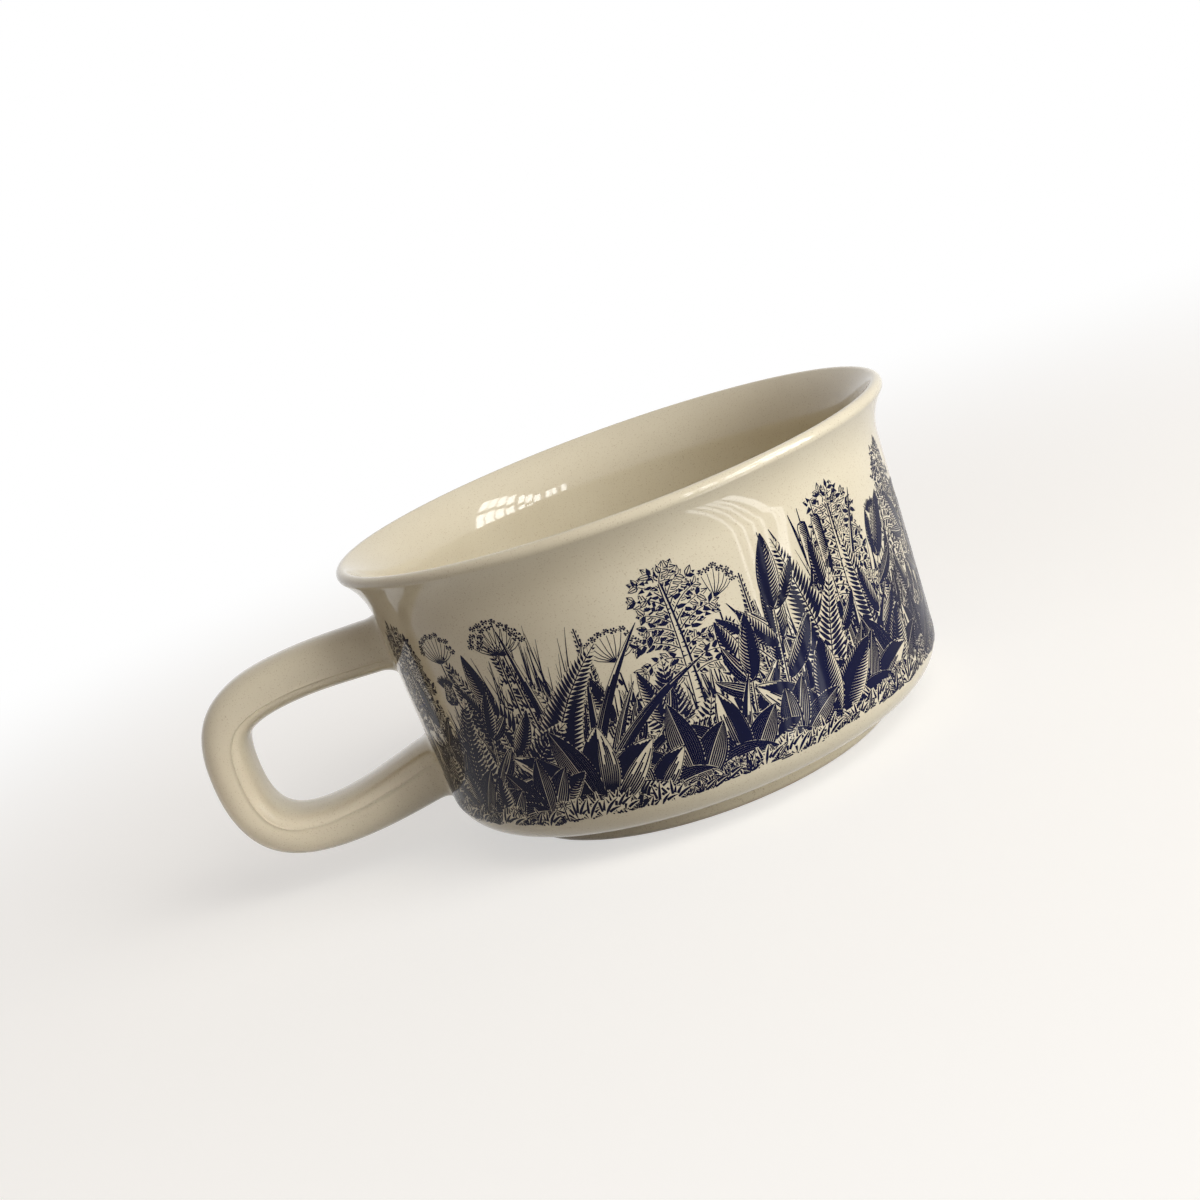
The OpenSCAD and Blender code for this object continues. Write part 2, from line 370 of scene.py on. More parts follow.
def sweep(bm, rings):
    """Skin a row of rings of points, extruding one ring after another, and close both ends."""
    row = bmesh.ops.create_circle(bm, segments=len(rings[0]), radius=MM)["verts"]
    edges = bm.edges[:]
    for v, p in zip(row, rings[0]):
        v.co = p
    bmesh.ops.edgeloop_fill(bm, edges=edges)
    for ring in rings[1:]:
        made = bmesh.ops.extrude_edge_only(bm, edges=edges)["geom"]
        edges = [g for g in made if isinstance(g, bmesh.types.BMEdge)]
        fresh = {g for g in made if isinstance(g, bmesh.types.BMVert)}
        row = [next(e.other_vert(v) for e in v.link_edges if e.other_vert(v) in fresh) for v in row]
        for v, p in zip(row, ring):
            v.co = p
    bmesh.ops.edgeloop_fill(bm, edges=edges)


UPPER_ARM = arm_curve(UPPER_ROOT, UPPER_WAY, UPPER_RUN, UPPER_RISE)
LOWER_ARM = arm_curve(LOWER_ROOT, LOWER_WAY, LOWER_RUN, -LOWER_DROP)
turns = [math.tau * i / ROUND for i in range(ROUND)]
turns += [edge + math.radians(a) for edge in (0, math.pi) for a in (-2.4, -1.1, 1.1, 2.4)]
turns = sorted(a % math.tau for a in turns)
stations = [(UPPER_ROOT + TAIL * UPPER_WAY, UPPER_WAY, UPPER_SWELL)]
for i in range(ARM_STEPS):
    t = i / ARM_STEPS
    centre, way = along(UPPER_ARM, t)
    stations.append((centre, way, UPPER_SWELL * max(0, 1 - 2 * t) ** 2))
for i in range(ARM_STEPS, -1, -1):
    t = i / ARM_STEPS
    centre, way = along(LOWER_ARM, t)
    stations.append((centre, -way, LOWER_SWELL * max(0, 1 - 2 * t) ** 2))
stations.append((LOWER_ROOT + TAIL * LOWER_WAY, -LOWER_WAY, LOWER_SWELL))
bm = bmesh.new()
sweep(bm, [[sponged(strap_point(a, *s), WAVER) for a in turns] for s in stations])
handle = finish_mesh(bm, "glazed_handle", ivory_glaze)
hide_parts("handle")


# ---------------------------------------------------------------- the slip joints
# Where each arm meets the wall, soft slip is wiped into a flared collar, which is
# sponged out thin over the strap. Glaze gathers in it and fires a little darker.
FLARE = 1.7 * MM
IN_WALL = 1.2 * MM
UNDER_STRAP = 0.4 * MM
COLLAR_STEPS = 16

slip_glaze = glaze("slip_glaze", pale=(0.705, 0.65, 0.507, 1), deep=(0.66, 0.60, 0.457, 1),
                   speck=(0.52, 0.445, 0.32, 1), ripple=0.6)


def outer_radius(z):
    """The bowl's outer profile: heel, wall and cove."""
    if z < HEEL_C.y + HEEL_R * OUT.y:
        return HEEL_C.x + math.sqrt(max(0, HEEL_R**2 - (z - HEEL_C.y) ** 2))
    if z > WALL_TOP.y:
        return COVE_C.x - math.sqrt(max(0, COVE_R**2 - (z - COVE_C.y) ** 2))
    return wall_radius(z)


def from_wall(p, way, reach):
    """Slide p along the arm's direction until it is reach away from the wall."""
    p = p.copy()
    run = Vector((-way.x, 0, way.y))
    for _ in range(6):
        off = math.sqrt(max(0, outer_radius(p.z) ** 2 - p.y**2)) + p.x
        p += run * (off / way.x)
    return p + run * reach


def slip_collar(name, node, root, way, swell, facing):
    """One collar, from inside the wall out over the strap, which it meets at a feather edge."""
    def ring(grow, reach):
        return [from_wall(strap_point(a, root, facing, swell + grow), way, reach) for a in turns]

    rings = [ring(FLARE, -IN_WALL)]
    for i in range(COLLAR_STEPS + 1):
        s = i / COLLAR_STEPS
        grow = FLARE * (1 - math.sqrt(s * (2 - s))) - 0.02 * MM * s
        rings.append([sponged(p, WAVER * s) for p in ring(grow, s * JOINT_LEN)])
    rings.append(ring(-UNDER_STRAP, 1.1 * JOINT_LEN))
    bm = bmesh.new()
    sweep(bm, rings)
    piece = finish_mesh(bm, name, slip_glaze)
    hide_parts(node)


slip_collar("upper_collar", "upper_slip_joint", UPPER_ROOT, UPPER_WAY, UPPER_SWELL, UPPER_WAY)
slip_collar("lower_collar", "lower_slip_joint", LOWER_ROOT, LOWER_WAY, LOWER_SWELL, -LOWER_WAY)


# ---------------------------------------------------------------- the printed border
# A navy meadow border, printed under the glaze from a transfer sheet that is laid
# round the wall. It is drawn here in pen, nearest plants first, in millimetres: x
# runs along the wall from the front to the right, and y is the height on the mug.
SHEET_FROM, SHEET_TO = -78.0, 246.0
PLANTED_FROM, PLANTED_TO = -69.5, 237.0
SHEET_LOW, SHEET_HIGH = 8.0, 55.0
GRAIN = 0.1
PEN_STEP = 0.12
FINEST = 0.03
SHORTEST = 0.22
POINT_GAP = 0.85
LINE_GAP = 0.42
EDGE_GAP = 0.11
dice = random.Random(3)
taken = np.zeros((round((SHEET_HIGH - SHEET_LOW) / GRAIN), round((SHEET_TO - SHEET_FROM) / GRAIN)),
                 bool)
strokes = []


def hedge(x):
    """Height of the thick growth at x: it rises and falls round the mug, and dips by the handle."""
    swell = 0.5 + 0.5 * math.cos(math.tau * (x + 30) / 61.5)
    full = 30.0 + 14.0 * swell + 2.2 * math.sin(x / 5.3) + 1.2 * math.sin(x / 2.3)
    ends = min(1, 0.25 + min(x - PLANTED_FROM, PLANTED_TO - x) / 14)
    return 10 + (full - 10) * max(0.25, ends)


def soil(x):
    """The lower edge of the border, just above the heel."""
    return 9.7 + 0.25 * np.sin(x / 4.1) + 0.15 * np.sin(x / 1.3)


def slot_of(path):
    """The mask's row and column under each point, and whether the point is on the sheet."""
    col = ((path[:, 0] - SHEET_FROM) / GRAIN).astype(int)
    row = ((path[:, 1] - SHEET_LOW) / GRAIN).astype(int)
    on = (col >= 0) & (col < taken.shape[1]) & (row >= 0) & (row < taken.shape[0])
    return np.clip(row, 0, taken.shape[0] - 1), np.clip(col, 0, taken.shape[1] - 1), on


def hidden(path):
    """Whether every point of path is behind what is drawn already, or off the sheet."""
    row, col, on = slot_of(path)
    return bool(np.all(taken[row, col] | ~on))


def cover(outline):
    """Nothing drawn later shows inside this outline: it is behind."""
    poly = np.asarray(outline)
    low = np.maximum(np.floor((poly.min(0) - (SHEET_FROM, SHEET_LOW)) / GRAIN).astype(int), 0)
    high = np.ceil((poly.max(0) - (SHEET_FROM, SHEET_LOW)) / GRAIN).astype(int) + 1
    part = taken[low[1]:max(high[1], 0), low[0]:max(high[0], 0)]
    if not part.size:
        return
    ys, xs = np.mgrid[0:part.shape[0], 0:part.shape[1]]
    xs = SHEET_FROM + (xs + low[0] + 0.5) * GRAIN
    ys = SHEET_LOW + (ys + low[1] + 0.5) * GRAIN
    inside = np.zeros(part.shape, bool)
    x0, y0 = poly[-1]
    for x1, y1 in poly:
        if y0 != y1:
            inside ^= ((ys < y0) != (ys < y1)) & (xs < (x1 - x0) * (ys - y0) / (y1 - y0) + x0)
        x0, y0 = x1, y1
    part |= inside


def pen(path, nib):
    """One stroke along path, with nib its half-width at each point. What is behind is left out."""
    path = np.asarray(path, float)
    if hidden(path):
        return
    nib = np.broadcast_to(np.asarray(nib, float), (len(path),))
    run = np.concatenate(([0], np.cumsum(np.hypot(*np.diff(path, axis=0).T))))
    if run[-1] < SHORTEST:
        return
    at = np.linspace(0, run[-1], max(3, int(run[-1] / PEN_STEP) + 2))
    fine = np.column_stack([np.interp(at, run, values) for values in (path[:, 0], path[:, 1], nib)])
    row, col, on = slot_of(fine)
    seen = on & ~taken[row, col]
    changes = np.flatnonzero(np.diff(np.concatenate(([0], seen.astype(int), [0]))))
    for start, end in zip(changes[::2], changes[1::2]):
        long = at[end - 1] - at[start]
        if long > SHORTEST:
            keep = np.linspace(start, end - 1, max(2, round(long / POINT_GAP) + 1)).round().astype(int)
            stroke = fine[keep]
            stroke[:, 2] = np.maximum(stroke[:, 2], FINEST)
            strokes.append(stroke)


def growth(root, heading, length, bend, steps):
    """A stem or midrib that starts towards heading and turns by bend over its length."""
    t = np.linspace(0, 1, steps)
    way = heading + bend * t
    walk = np.stack((np.cos(way), np.sin(way)), axis=1) * length / (steps - 1)
    path = np.asarray(root) + np.concatenate(([[0, 0]], np.cumsum(walk[:-1], axis=0)))
    return t, path, way, np.stack((-np.sin(way), np.cos(way)), axis=1)


def leaf(root, heading, length, width, bend=0.0, belly=0.42, cut="ribbed", shade=1, nib=0.12):
    """One pointed leaf, with its margin, midrib and hatching; shade is its darker side."""
    steps = max(6, int(length / 0.6))
    t, mid, way, off = growth(root, heading, length, bend, steps)
    half = width / 2 * np.sin(np.pi * t ** (math.log(0.5) / math.log(belly))) ** 0.85
    half = half[:, None]
    if hidden(np.concatenate((mid, mid + off * half, mid - off * half))):
        return
    if cut == "solid":
        pen(mid, 0.92 * half[:, 0])
        halo = half + 0.15
        cover(np.concatenate((mid + off * halo, (mid - off * halo)[::-1])))
        return
    taper = 1 - 0.5 * t
    pen(mid + shade * off * half, nib * 1.3 * taper)
    pen(mid - shade * off * half, nib * taper)
    if cut != "dark":
        pen(mid, nib * 1.3 * taper)
    if cut == "ribbed":
        lines = max(1, int(width / 2 / LINE_GAP))
        for i in range(1, lines + 1):
            share = i / (lines + 1)
            a = int(steps * 0.06)
            b = steps - int(steps * 0.18 * share) - 1
            pen((mid + shade * off * half * share)[a:b], nib * 2.1 * (1 - 0.35 * t[a:b]))
            b = int(steps * dice.uniform(0.55, 0.92))
            pen((mid - shade * off * half * share)[a:b], nib * 1.6 * (1 - 0.5 * t[a:b]))
    elif cut == "veined":
        gap = max(1, round(0.58 / (length / steps)))
        for i in range(1, steps - 2, gap):
            j = min(steps - 1, i + max(2, round(0.13 * steps)))
            k = (i + j) // 2
            for side in (shade, -shade):
                end = mid[j] + side * off[j] * half[j]
                middle = mid[k] + side * off[k] * half[k] * 0.55
                if side == shade:
                    pen([mid[i], middle, end], [nib * 2.5, nib * 2.2, nib * 1.1])
                else:
                    pen([mid[i], middle, 0.2 * middle + 0.8 * end], [nib * 2.0, nib * 1.5, nib * 0.5])
    elif cut == "dark":
        lines = max(1, round(width / 2 / 0.40))
        thick = 0.5 * width / 2 / lines
        for i in range(lines):
            share = (i + 0.5) / lines
            for side, fill in ((shade, 0.96), (-shade, 0.78)):
                nibs = np.minimum(fill * thick * half[:, 0] / (width / 2), 0.34)
                pen(mid + side * off * (half * share + 0.05), nibs)
    halo = half + EDGE_GAP
    cover(np.concatenate((mid + off * halo, (mid - off * halo)[::-1])))


def stem(root, heading, length, bend, thick):
    """A bare stem. It gives back its points and headings, for what grows on it."""
    steps = max(5, int(length / 1.2))
    t, path, way, off = growth(root, heading, length, bend, steps)
    half = thick / 2 * (1 - 0.45 * t)
    pen(path, half)
    halo = (half + 0.14)[:, None]
    cover(np.concatenate((path + off * halo, (path - off * halo)[::-1])))
    return path, way


def fern(x, y, heading, length, width, bend, dark):
    """An arching frond with leaflets on both sides, smaller towards the tip."""
    steps = int(length / 0.95)
    t, path, way, off = growth((x, y), heading, length, bend, steps)
    pen(path, 0.20 * (1 - 0.6 * t))
    for i in range(steps - 1, 1, -1):
        size = width / 2 * (1 - t[i]) ** 0.75 * min(1, 0.35 + 2.2 * t[i]) + 0.35
        for side in (1, -1):
            lean = side * (1.25 - 0.45 * t[i])
            leaf(path[i], way[i] + lean, size, 0.50 + 0.10 * size, bend=-side * 0.25, belly=0.35,
                 cut="solid" if dark or size < 1.6 else "ribbed", shade=side, nib=0.10)


def blade(x, y, heading, length, width, bend, cut="ribbed"):
    """One long strap-shaped leaf."""
    leaf((x, y), heading, length, width, bend=bend, belly=0.30, cut=cut, shade=dice.choice((1, -1)))


def reed_mace(x, y, height, lean):
    """A tall reed with a dark velvety spike; the planting sets strap leaves round it."""
    path, way = stem((x, y), math.pi / 2 + lean, height, -lean * 0.8, 0.45)
    heading = way[-1]
    t, mid, way, off = growth(path[-1], heading, dice.uniform(7.5, 9.5), 0.0, 30)
    half = 1.05 * np.minimum(1, 4.5 * np.sqrt(t * (1 - t)))[:, None]
    for i in range(1, 29):
        side = off[i] * half[i]
        pen([mid[i] - side, mid[i] + side * dice.uniform(0.35, 0.75)], [0.17, 0.09])
    pen(mid - off * half, 0.16)
    pen(mid + off * half, 0.09)
    halo = half + 0.12
    cover(np.concatenate((mid + off * halo, (mid - off * halo)[::-1])))
    stem(mid[-1], heading, 2.6, 0.0, 0.3)


def umbel(x, y, height, lean, spread):
    """A flat-topped head of tiny flowers on rays, like an open umbrella."""
    path, way = stem((x, y), math.pi / 2 + lean, height, -lean * 0.6, 0.55)
    for share in (0.5, 0.66, 0.8):
        i = int(len(path) * share)
        side = dice.choice((1, -1))
        for turn in (0.45, 0.8, 1.2):
            leaf(path[i], way[i] - side * turn, 3.6 * (1.5 - share), 0.8, bend=side * 0.3, cut="solid")
    top = path[-1]
    rays = 11
    for i in range(rays):
        fan = -1.12 + 2.24 * i / (rays - 1)
        reach = spread * (0.80 + 0.14 * math.cos(fan * 2)) * dice.uniform(0.93, 1.05)
        tip = top + reach * np.array([math.sin(fan + lean * 0.2), math.cos(fan) * 0.80 + 0.10])
        bow = (top + tip) / 2 + np.array([math.sin(fan) * 0.5, -0.25])
        for j in range(7):
            turn = math.tau * j / 7 + dice.uniform(-0.3, 0.3)
            dot = tip + 0.62 * np.array([math.cos(turn), 0.65 * math.sin(turn)])
            pen([dot - (0.15, 0.03), dot + (0.15, 0.03)], 0.17)
            pen([tip, dot], 0.06)
        cover([tip + 0.95 * np.array([math.cos(a), 0.7 * math.sin(a)])
               for a in np.linspace(0, math.tau, 10)[:-1]])
        pen([top, bow, tip], [0.12, 0.08, 0.06])


def flower_spike(x, y, height, lean, full):
    """A tall spike set with small hooded flowers, the smallest at the top."""
    path, way = stem((x, y), math.pi / 2 + lean, height, -lean, 0.5)
    first = int(len(path) * 0.42)
    rows = int(full / 0.85)
    for i in range(rows - 1, -1, -1):
        share = i / rows
        spot = first + share * (len(path) - 1 - first)
        k = int(spot)
        p = path[k] + (path[min(k + 1, len(path) - 1)] - path[k]) * (spot - k)
        size = 2.3 * (1 - share) + 0.6
        for side in (1, -1, 0):
            heading = way[k] - side * 0.95 + dice.uniform(-0.15, 0.15)
            leaf(p, heading, size * (0.75 if side == 0 else 1), size * 0.52, bend=side * 0.5,
                 belly=0.55, shade=side or 1, nib=0.09)


def thistle(x, y, height, lean):
    """A spiny round head over a cup of bracts, on a stem with toothed leaves."""
    path, way = stem((x, y), math.pi / 2 + lean, height, -lean * 0.7, 0.6)
    heading = way[-1]
    up = np.array([math.cos(heading), math.sin(heading)])
    for i in range(7):
        for j in (1, -1):
            leaf(path[-1] + (0.3 + 0.5 * i) * up, heading + j * (1.2 - 0.12 * i), 2.4 - 0.13 * i,
                 1.0, bend=-j * 0.8, belly=0.5, nib=0.09, shade=j)
    crown = path[-1] + 2.9 * up
    for i in range(23):
        fan = heading - 0.85 + 1.7 * i / 22
        ray = np.array([math.cos(fan), math.sin(fan)])
        tip = crown + dice.uniform(3.0, 3.8) * ray
        pen([crown + 0.5 * ray, crown + 2.2 * ray, tip], [0.16, 0.13, 0.05])
    tuft = [crown + 3.3 * np.array([math.cos(a), math.sin(a)])
            for a in np.linspace(heading - 0.9, heading + 0.9, 9)]
    cover(tuft + [crown])
    for share in (0.25, 0.5, 0.75):
        i = int(len(path) * share)
        side = dice.choice((1, -1))
        leaf(path[i], way[i] - side * 0.8, dice.uniform(5, 7), 1.9, bend=side * 0.6,
             cut="veined", shade=side)


def daisy(x, y, height, lean, size):
    """A daisy seen a little from the side."""
    path, way = stem((x, y), math.pi / 2 + lean, height, -lean * 0.4, 0.4)
    top = path[-1]
    flat = 0.62
    disc = [top + 0.34 * size * np.array([math.cos(a), flat * math.sin(a)])
            for a in np.linspace(0, math.tau, 13)]
    pen(disc, 0.09)
    dot = 0.07 * size
    for i in range(5):
        pen([top + dot * np.array([i - 2.3, -1.3]), top + dot * np.array([i - 1.7, 1.5])], 0.10)
    cover(disc)
    for i in range(13):
        turn = math.tau * i / 13 + 0.1
        out = np.array([math.cos(turn), flat * math.sin(turn)])
        leaf(top + 0.3 * size * out, math.atan2(out[1], out[0]), 0.85 * size * math.hypot(*out),
             0.36 * size, belly=0.68, cut="plain", nib=0.09)


def broad_clump(x, y, size, count):
    """A clump of broad ribbed leaves that arch out from one crown."""
    for i in range(count):
        fan = (i - (count - 1) / 2) / max(1, count - 1)
        fan += dice.uniform(-0.06, 0.06)
        length = size * dice.uniform(0.8, 1.1)
        width = size * dice.uniform(0.30, 0.38)
        leaf((x + fan * 1.5, y), math.pi / 2 - fan * 2.3, length, width, bend=-fan * 1.5, belly=0.5,
             cut=dice.choice(("ribbed", "veined", "dark", "dark")), shade=1 if fan > 0 else -1,
             nib=0.13)


def sprig(x, y, heading, length, bend, size, dark):
    """A leafy shoot with leaves in turn on both sides and one at the tip."""
    path, way = stem((x, y), heading, length, bend, 0.4)
    leaf(path[-1], way[-1], size * 1.05, size * 0.32, cut="veined", shade=dice.choice((1, -1)))
    count = int(length / (0.42 * size))
    for i in range(count, 0, -1):
        k = min(len(path) - 1, int(i / count * (len(path) - 1)))
        side = 1 if i % 2 else -1
        grown = size * (0.75 + 0.35 * (1 - i / count))
        cut = "dark" if dice.random() < dark else dice.choice(("ribbed", "veined"))
        leaf(path[k], way[k] + side * dice.uniform(0.65, 0.95), grown, grown * 0.30,
             bend=-side * 0.35, cut=cut, shade=side)


def sapling(x, y, height, lean, crown):
    """A young silver birch: a pale barred trunk and light drooping twigs."""
    t, path, way, off = growth((x, y), math.pi / 2 + lean, height, -lean * 1.4, int(height / 0.8))
    half = (1.0 * (1 - t) + 0.22)[:, None]
    pen(path + off * half, 0.12)
    pen(path - off * half, 0.20)
    for i in range(1, len(path) - 3):
        if dice.random() < 0.75:
            reach = dice.uniform(0.15, 0.95)
            side = dice.choice((-1, -1, 1))
            edge = path[i] + side * off[i] * half[i]
            pen([edge, edge - side * off[i] * half[i] * reach * 1.7], [0.20, 0.06])
    cover(np.concatenate((path + off * (half + 0.15), (path - off * (half + 0.15))[::-1])))
    first = int(len(path) * (1 - crown))
    for k in range(len(path) - 1, first, -2):
        share = (k - first) / (len(path) - first)
        round_crown = math.sqrt(max(0.02, 1 - (1.35 * share - 0.35) ** 2))
        for side in (1, -1):
            reach = 0.20 * height * round_crown * dice.uniform(0.7, 1.15)
            spread = (0.30 + 0.75 * (1 - share)) * dice.uniform(0.85, 1.15)
            droop = -side * (0.4 + 0.9 * (1 - share))
            twig, twig_way = stem(path[k], way[k] - side * spread, reach, droop, 0.26)
            for j in range(len(twig) - 1, 0, -1):
                for turn in (0.8, -0.8, 0.1):
                    heading = twig_way[j] + turn + dice.uniform(-0.3, 0.3)
                    leaf(twig[j], heading, dice.uniform(1.5, 2.3), 1.05, belly=0.38,
                         cut=dice.choice(("solid", "plain", "ribbed")), nib=0.10)


def ground_leaves(x):
    """Small leaves and tufts along the foot of the border."""
    foot = 9.8 + 0.4 * math.sin(x / 5.0) + 0.3 * math.sin(x / 1.7)
    kind = dice.random()
    if kind < 0.45:
        for i in range(5):
            fan = -0.9 + 0.45 * i + dice.uniform(-0.15, 0.15)
            leaf((x, foot), math.pi / 2 - fan, dice.uniform(2.4, 4.2), dice.uniform(1.0, 1.5),
                 bend=-fan * 0.4, cut=dice.choice(("ribbed", "dark", "dark")))
    elif kind < 0.8:
        for i in range(7):
            fan = -0.8 + 0.27 * i + dice.uniform(-0.1, 0.1)
            leaf((x + fan * 0.6, foot), math.pi / 2 - fan, dice.uniform(2.8, 5.2), 0.62,
                 bend=-fan * 0.8, cut="solid")
    else:
        daisy(x, foot, dice.uniform(2.0, 4.5), dice.uniform(-0.2, 0.2), dice.uniform(1.4, 1.9))


# The planting: small growth first, in front, then clumps and shoots, then the
# tall stems, and last the dark thicket of blades behind them all. Each row is
# rooted a little higher on the wall than the row in front of it.
CLUMP_ROOT = 10.2
SHOOT_ROOT = 10.4
TALL_ROOT = 11.4
UPRIGHT = math.pi / 2
rows, columns = np.mgrid[0:taken.shape[0], 0:taken.shape[1]]
taken |= SHEET_LOW + rows * GRAIN < soil(SHEET_FROM + columns * GRAIN)
x = PLANTED_FROM + 1.5
while x < PLANTED_TO - 1.5:
    ground_leaves(x)
    x += dice.uniform(1.6, 3.2)
x = PLANTED_FROM + 3
while x < PLANTED_TO - 3:
    size = min(dice.uniform(11, 20), 0.75 * (hedge(x) - 6))
    broad_clump(x, CLUMP_ROOT, size, dice.choice((5, 6, 7)))
    x += dice.uniform(8, 14)
x = PLANTED_FROM + 2
while x < PLANTED_TO - 2:
    fan = dice.uniform(-0.5, 0.5)
    reach = (hedge(x) - 10) * dice.uniform(0.6, 1.08)
    kind = dice.random()
    if kind < 0.40:
        fern(x, SHOOT_ROOT, UPRIGHT - fan * 0.7, min(39, reach * 1.1), dice.uniform(11, 17),
             -fan * 2.0, dice.random() < 0.6)
    elif kind < 0.82:
        sprig(x, SHOOT_ROOT, UPRIGHT - fan * 0.5, min(26, reach * 0.9), -fan * 0.8,
              dice.uniform(9, 14), 0.55)
    else:
        for i in range(6):
            fan = -0.6 + 0.24 * i + dice.uniform(-0.08, 0.08)
            tall = min(39, reach * dice.uniform(0.9, 1.2))
            blade(x + fan * 2, SHOOT_ROOT, UPRIGHT - fan, tall, 2.2, -fan * 1.3,
                  dice.choice(("ribbed", "dark")))
    x += dice.uniform(2.4, 4.2)
x = PLANTED_FROM + 4
while x < PLANTED_TO - 4:
    kind = dice.random()
    lean = dice.uniform(-0.16, 0.16)
    rise = hedge(x) - TALL_ROOT
    if kind < 0.26:
        umbel(x, TALL_ROOT, min(33, rise + dice.uniform(4, 10)), lean, dice.uniform(6.5, 9.0))
    elif kind < 0.38:
        reed_mace(x, TALL_ROOT, min(28, rise + dice.uniform(0, 4)), lean)
        for i in range(3):
            fan = dice.uniform(-0.35, 0.35)
            blade(x + dice.uniform(-1.5, 1.5), TALL_ROOT, UPRIGHT - fan,
                  min(40, rise + dice.uniform(2, 9)), 1.8, -fan * 0.8)
    elif kind < 0.56:
        flower_spike(x, TALL_ROOT, min(40, rise + dice.uniform(4, 11)), lean, dice.uniform(16, 22))
    elif kind < 0.66:
        thistle(x, TALL_ROOT, min(35, rise + dice.uniform(1, 6)), lean)
    elif kind < 0.86:
        sapling(x, SHOOT_ROOT, dice.uniform(37, 40.5), lean, dice.uniform(0.45, 0.60))
        x += 6
    else:
        fan = dice.uniform(-0.3, 0.3)
        fern(x, TALL_ROOT, UPRIGHT - fan, min(40, rise + dice.uniform(3, 8)), 15, -fan * 2.2, False)
    x += dice.uniform(4.0, 7.2)
x = PLANTED_FROM + 0.8
while x < PLANTED_TO - 0.8:
    fan = dice.uniform(-0.22, 0.22)
    tall = (hedge(x) - 10.0) * dice.uniform(0.82, 1.08)
    steps = max(4, int(tall / 1.5))
    root = (x, 9.6 + dice.uniform(0, 0.7))
    t, path, way, off = growth(root, UPRIGHT - fan * 0.4, tall, -fan, steps)
    pen(path, 0.20 * np.minimum(1, 2.6 * (1 - t)) + FINEST)
    x += dice.uniform(0.26, 0.36)

# The sheet is inked as flat pen strokes, cut into four lengths, and each length
# is laid round the wall, two or three hundredths of a millimetre proud of it.
LAID_R = 53.4
INK_PROUD = 0.020
INK_LAYER = 0.014
INK_DEPTH = 0.30

ink_blue = glaze("navy_under_glaze", pale=(0.004, 0.006, 0.040, 1), deep=(0.002, 0.003, 0.022, 1),
                 speck=(0.012, 0.013, 0.06, 1), speck_share=0.66)
ink_blue.node_tree.nodes["Principled BSDF"].inputs["Specular IOR Level"].default_value = 0.10

nib_line = bpy.data.curves.new("nib", "CURVE")
nib_line.dimensions = "2D"
corner = nib_line.splines.new("POLY")
corner.points.add(2)
for point, co in zip(corner.points, ((-1, 1), (0, -1), (1, 1))):
    point.co = (*co, 0, 1)
corner.use_cyclic_u = True
nib_shape = bpy.data.objects.new("nib", nib_line)
bpy.context.collection.objects.link(nib_shape)


def lay_round_wall(name, batch):
    """Turn a batch of flat strokes into a mesh, and lay it round the bowl's wall."""
    flat = bpy.data.curves.new(name, "CURVE")
    flat.dimensions = "2D"
    flat.fill_mode = "NONE"
    flat.bevel_mode = "OBJECT"
    flat.bevel_object = nib_shape
    for stroke in batch:
        line = flat.splines.new("POLY")
        line.points.add(len(stroke) - 1)
        place = np.zeros((len(stroke), 4))
        place[:, :2] = stroke[:, :2]
        place[:, 3] = 1
        line.points.foreach_set("co", place.ravel())
        line.points.foreach_set("radius", stroke[:, 2])
        line.use_smooth = True
    drawn = bpy.data.objects.new(name + "_flat", flat)
    bpy.context.collection.objects.link(drawn)
    mesh = bpy.data.meshes.new_from_object(drawn.evaluated_get(bpy.context.evaluated_depsgraph_get()))
    co = np.empty(len(mesh.vertices) * 3)
    mesh.vertices.foreach_get("co", co)
    co = co.reshape(-1, 3)
    layer = np.repeat(np.arange(len(batch)) * 7 % 16, [3 * len(stroke) for stroke in batch]) / 16
    proud = np.where(co[:, 2] > 0, INK_PROUD + INK_LAYER * layer, -INK_DEPTH)
    high = co[:, 1]
    radius = np.array([outer_radius(h * MM) / MM for h in high]) + proud * math.cos(LEAN)
    high = high - proud * math.sin(LEAN)
    turn = co[:, 0] / LAID_R
    co = np.column_stack((radius * np.sin(turn), -radius * np.cos(turn), high)) * MM
    mesh.vertices.foreach_set("co", co.ravel())
    mesh.update()
    bm = bmesh.new()
    bm.from_mesh(mesh)
    bmesh.ops.holes_fill(bm, edges=[e for e in bm.edges if e.is_boundary], sides=3)
    bpy.data.meshes.remove(mesh)
    bpy.data.objects.remove(drawn)
    bpy.data.curves.remove(flat)
    finish_mesh(bm, name, ink_blue, smooth_below=15)


lengths = ("print_front_left", "print_front_right", "print_right", "print_back")
stops = (SHEET_FROM, 5.0, 80.0, 157.0, SHEET_TO)
for name, a, b in zip(lengths, stops, stops[1:]):
    lay_round_wall(name, [stroke for stroke in strokes if a <= stroke[0, 0] < b])
bpy.data.objects.remove(nib_shape)


# ---------------------------------------------------------------- the studio
# A pale sheet under the mug, which runs out into white. Soft daylight comes from
# the right, with a weak warm fill all round, and its lamps don't show in the glaze:
# what the glaze mirrors is a slatted light panel and a fan of long strips.
WHITE = (1, 1, 1, 1)


def light_path(tree):
    """1 for rays that should see the plain white background, 0 for light that falls on the mug."""
    path = add_node(tree, "ShaderNodeLightPath", (-900, 300))
    first = add_node(tree, "ShaderNodeMath", (-700, 300), operation="MAXIMUM")
    second = add_node(tree, "ShaderNodeMath", (-500, 300), operation="MAXIMUM")
    tree.links.new(path.outputs["Is Camera Ray"], first.inputs[0])
    tree.links.new(path.outputs["Is Glossy Ray"], first.inputs[1])
    tree.links.new(first.outputs[0], second.inputs[0])
    tree.links.new(path.outputs["Is Transmission Ray"], second.inputs[1])
    return second.outputs[0]


